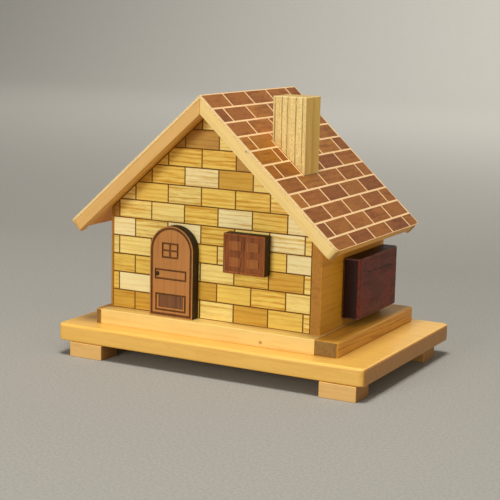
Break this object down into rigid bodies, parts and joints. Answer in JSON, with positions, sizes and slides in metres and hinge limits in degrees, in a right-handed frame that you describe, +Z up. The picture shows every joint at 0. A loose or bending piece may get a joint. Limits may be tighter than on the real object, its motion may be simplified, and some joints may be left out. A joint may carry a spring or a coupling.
{
  "type": "wooden puzzle box",
  "caption": "House-shaped wooden puzzle box on a footed base board, with brick and tile marquetry, lift-off roof, chimney, sliding door, window block and side drawer.",
  "frame": {"origin": "centre of the base board's outline, on the plane under the four feet", "axes": "+X to the right along the front gable, +Y from the front gable to the back, +Z up"},
  "size_m": [0.145, 0.095, 0.1156],
  "materials": {
    "honey_maple": "oiled satin",
    "light_maple": "oiled satin",
    "pale_maple": "oiled satin",
    "end_grain": "oiled end grain",
    "walnut_lines": "oiled satin",
    "brick_woods": "oiled marquetry",
    "tile_wood": "oiled marquetry",
    "ash": "oiled open grain",
    "cherry": "engraved, edges dark",
    "dark_cherry": "engraved, edges dark",
    "window_cherry": "satin",
    "purple_wood": "oiled open pore",
    "plain_wood": "sanded bare"
  },
  "bodies": {
    "house": {"base_board": "honey_maple", "foot_front_left": "light_maple", "foot_front_right": "light_maple", "foot_back_left": "light_maple", "foot_back_right": "light_maple", "plinth_panel": "light_maple", "plinth_cap_left": "honey_maple", "plinth_cap_right": "end_grain", "floor_board": "plain_wood", "front_wall": "plain_wood", "back_wall": "plain_wood", "left_wall": "honey_maple", "right_wall": "honey_maple", "front_joint_panel": "walnut_lines", "front_bricks": "brick_woods", "back_joint_panel": "walnut_lines", "back_bricks": "brick_woods", "partition": "plain_wood", "shelf": "plain_wood", "drawer_stop_pin": "plain_wood"},
    "roof": {"roof_slab_left": "light_maple", "roof_slab_right": "light_maple", "edge_front_left": "light_maple", "edge_front_right": "light_maple", "edge_back_left": "light_maple", "edge_back_right": "light_maple", "underlay_left": "pale_maple", "underlay_right": "pale_maple", "tiles_left": "tile_wood", "tiles_right": "tile_wood", "ridge_block": "plain_wood", "batten_left": "plain_wood", "batten_right": "plain_wood"},
    "chimney": {"chimney_block": "ash", "chimney_tenon_bar": "plain_wood", "chimney_stop_pin": "walnut_lines"},
    "door": {"door_leaf": "cherry", "door_knob": "dark_cherry", "door_panel": "dark_cherry", "door_tenon": "plain_wood", "door_keeper": "plain_wood"},
    "window": {"window_leaf": "dark_cherry", "window_pane": "window_cherry", "window_tenon": "plain_wood", "window_keeper": "plain_wood"},
    "drawer": {"drawer_front": "purple_wood", "drawer_bottom": "plain_wood", "drawer_side_front": "plain_wood", "drawer_side_back": "plain_wood", "drawer_back": "plain_wood"}
  },
  "joints": [
    {"name": "roof_lift", "type": "slide", "parent": "house", "child": "roof", "axis": [0, 0, 1], "range_m": [0, 0.06]},
    {"name": "chimney_lift", "type": "slide", "parent": "roof", "child": "chimney", "axis": [0, 0, 1], "range_m": [0, 0.01]},
    {"name": "door_slide", "type": "slide", "parent": "house", "child": "door", "axis": [0, 0, 1], "range_m": [0, 0.012]},
    {"name": "window_slide", "type": "slide", "parent": "house", "child": "window", "axis": [1, 0, 0], "range_m": [0, 0.008]},
    {"name": "drawer_slide", "type": "slide", "parent": "house", "child": "drawer", "axis": [1, 0, 0], "range_m": [0, 0.055]}
  ]
}
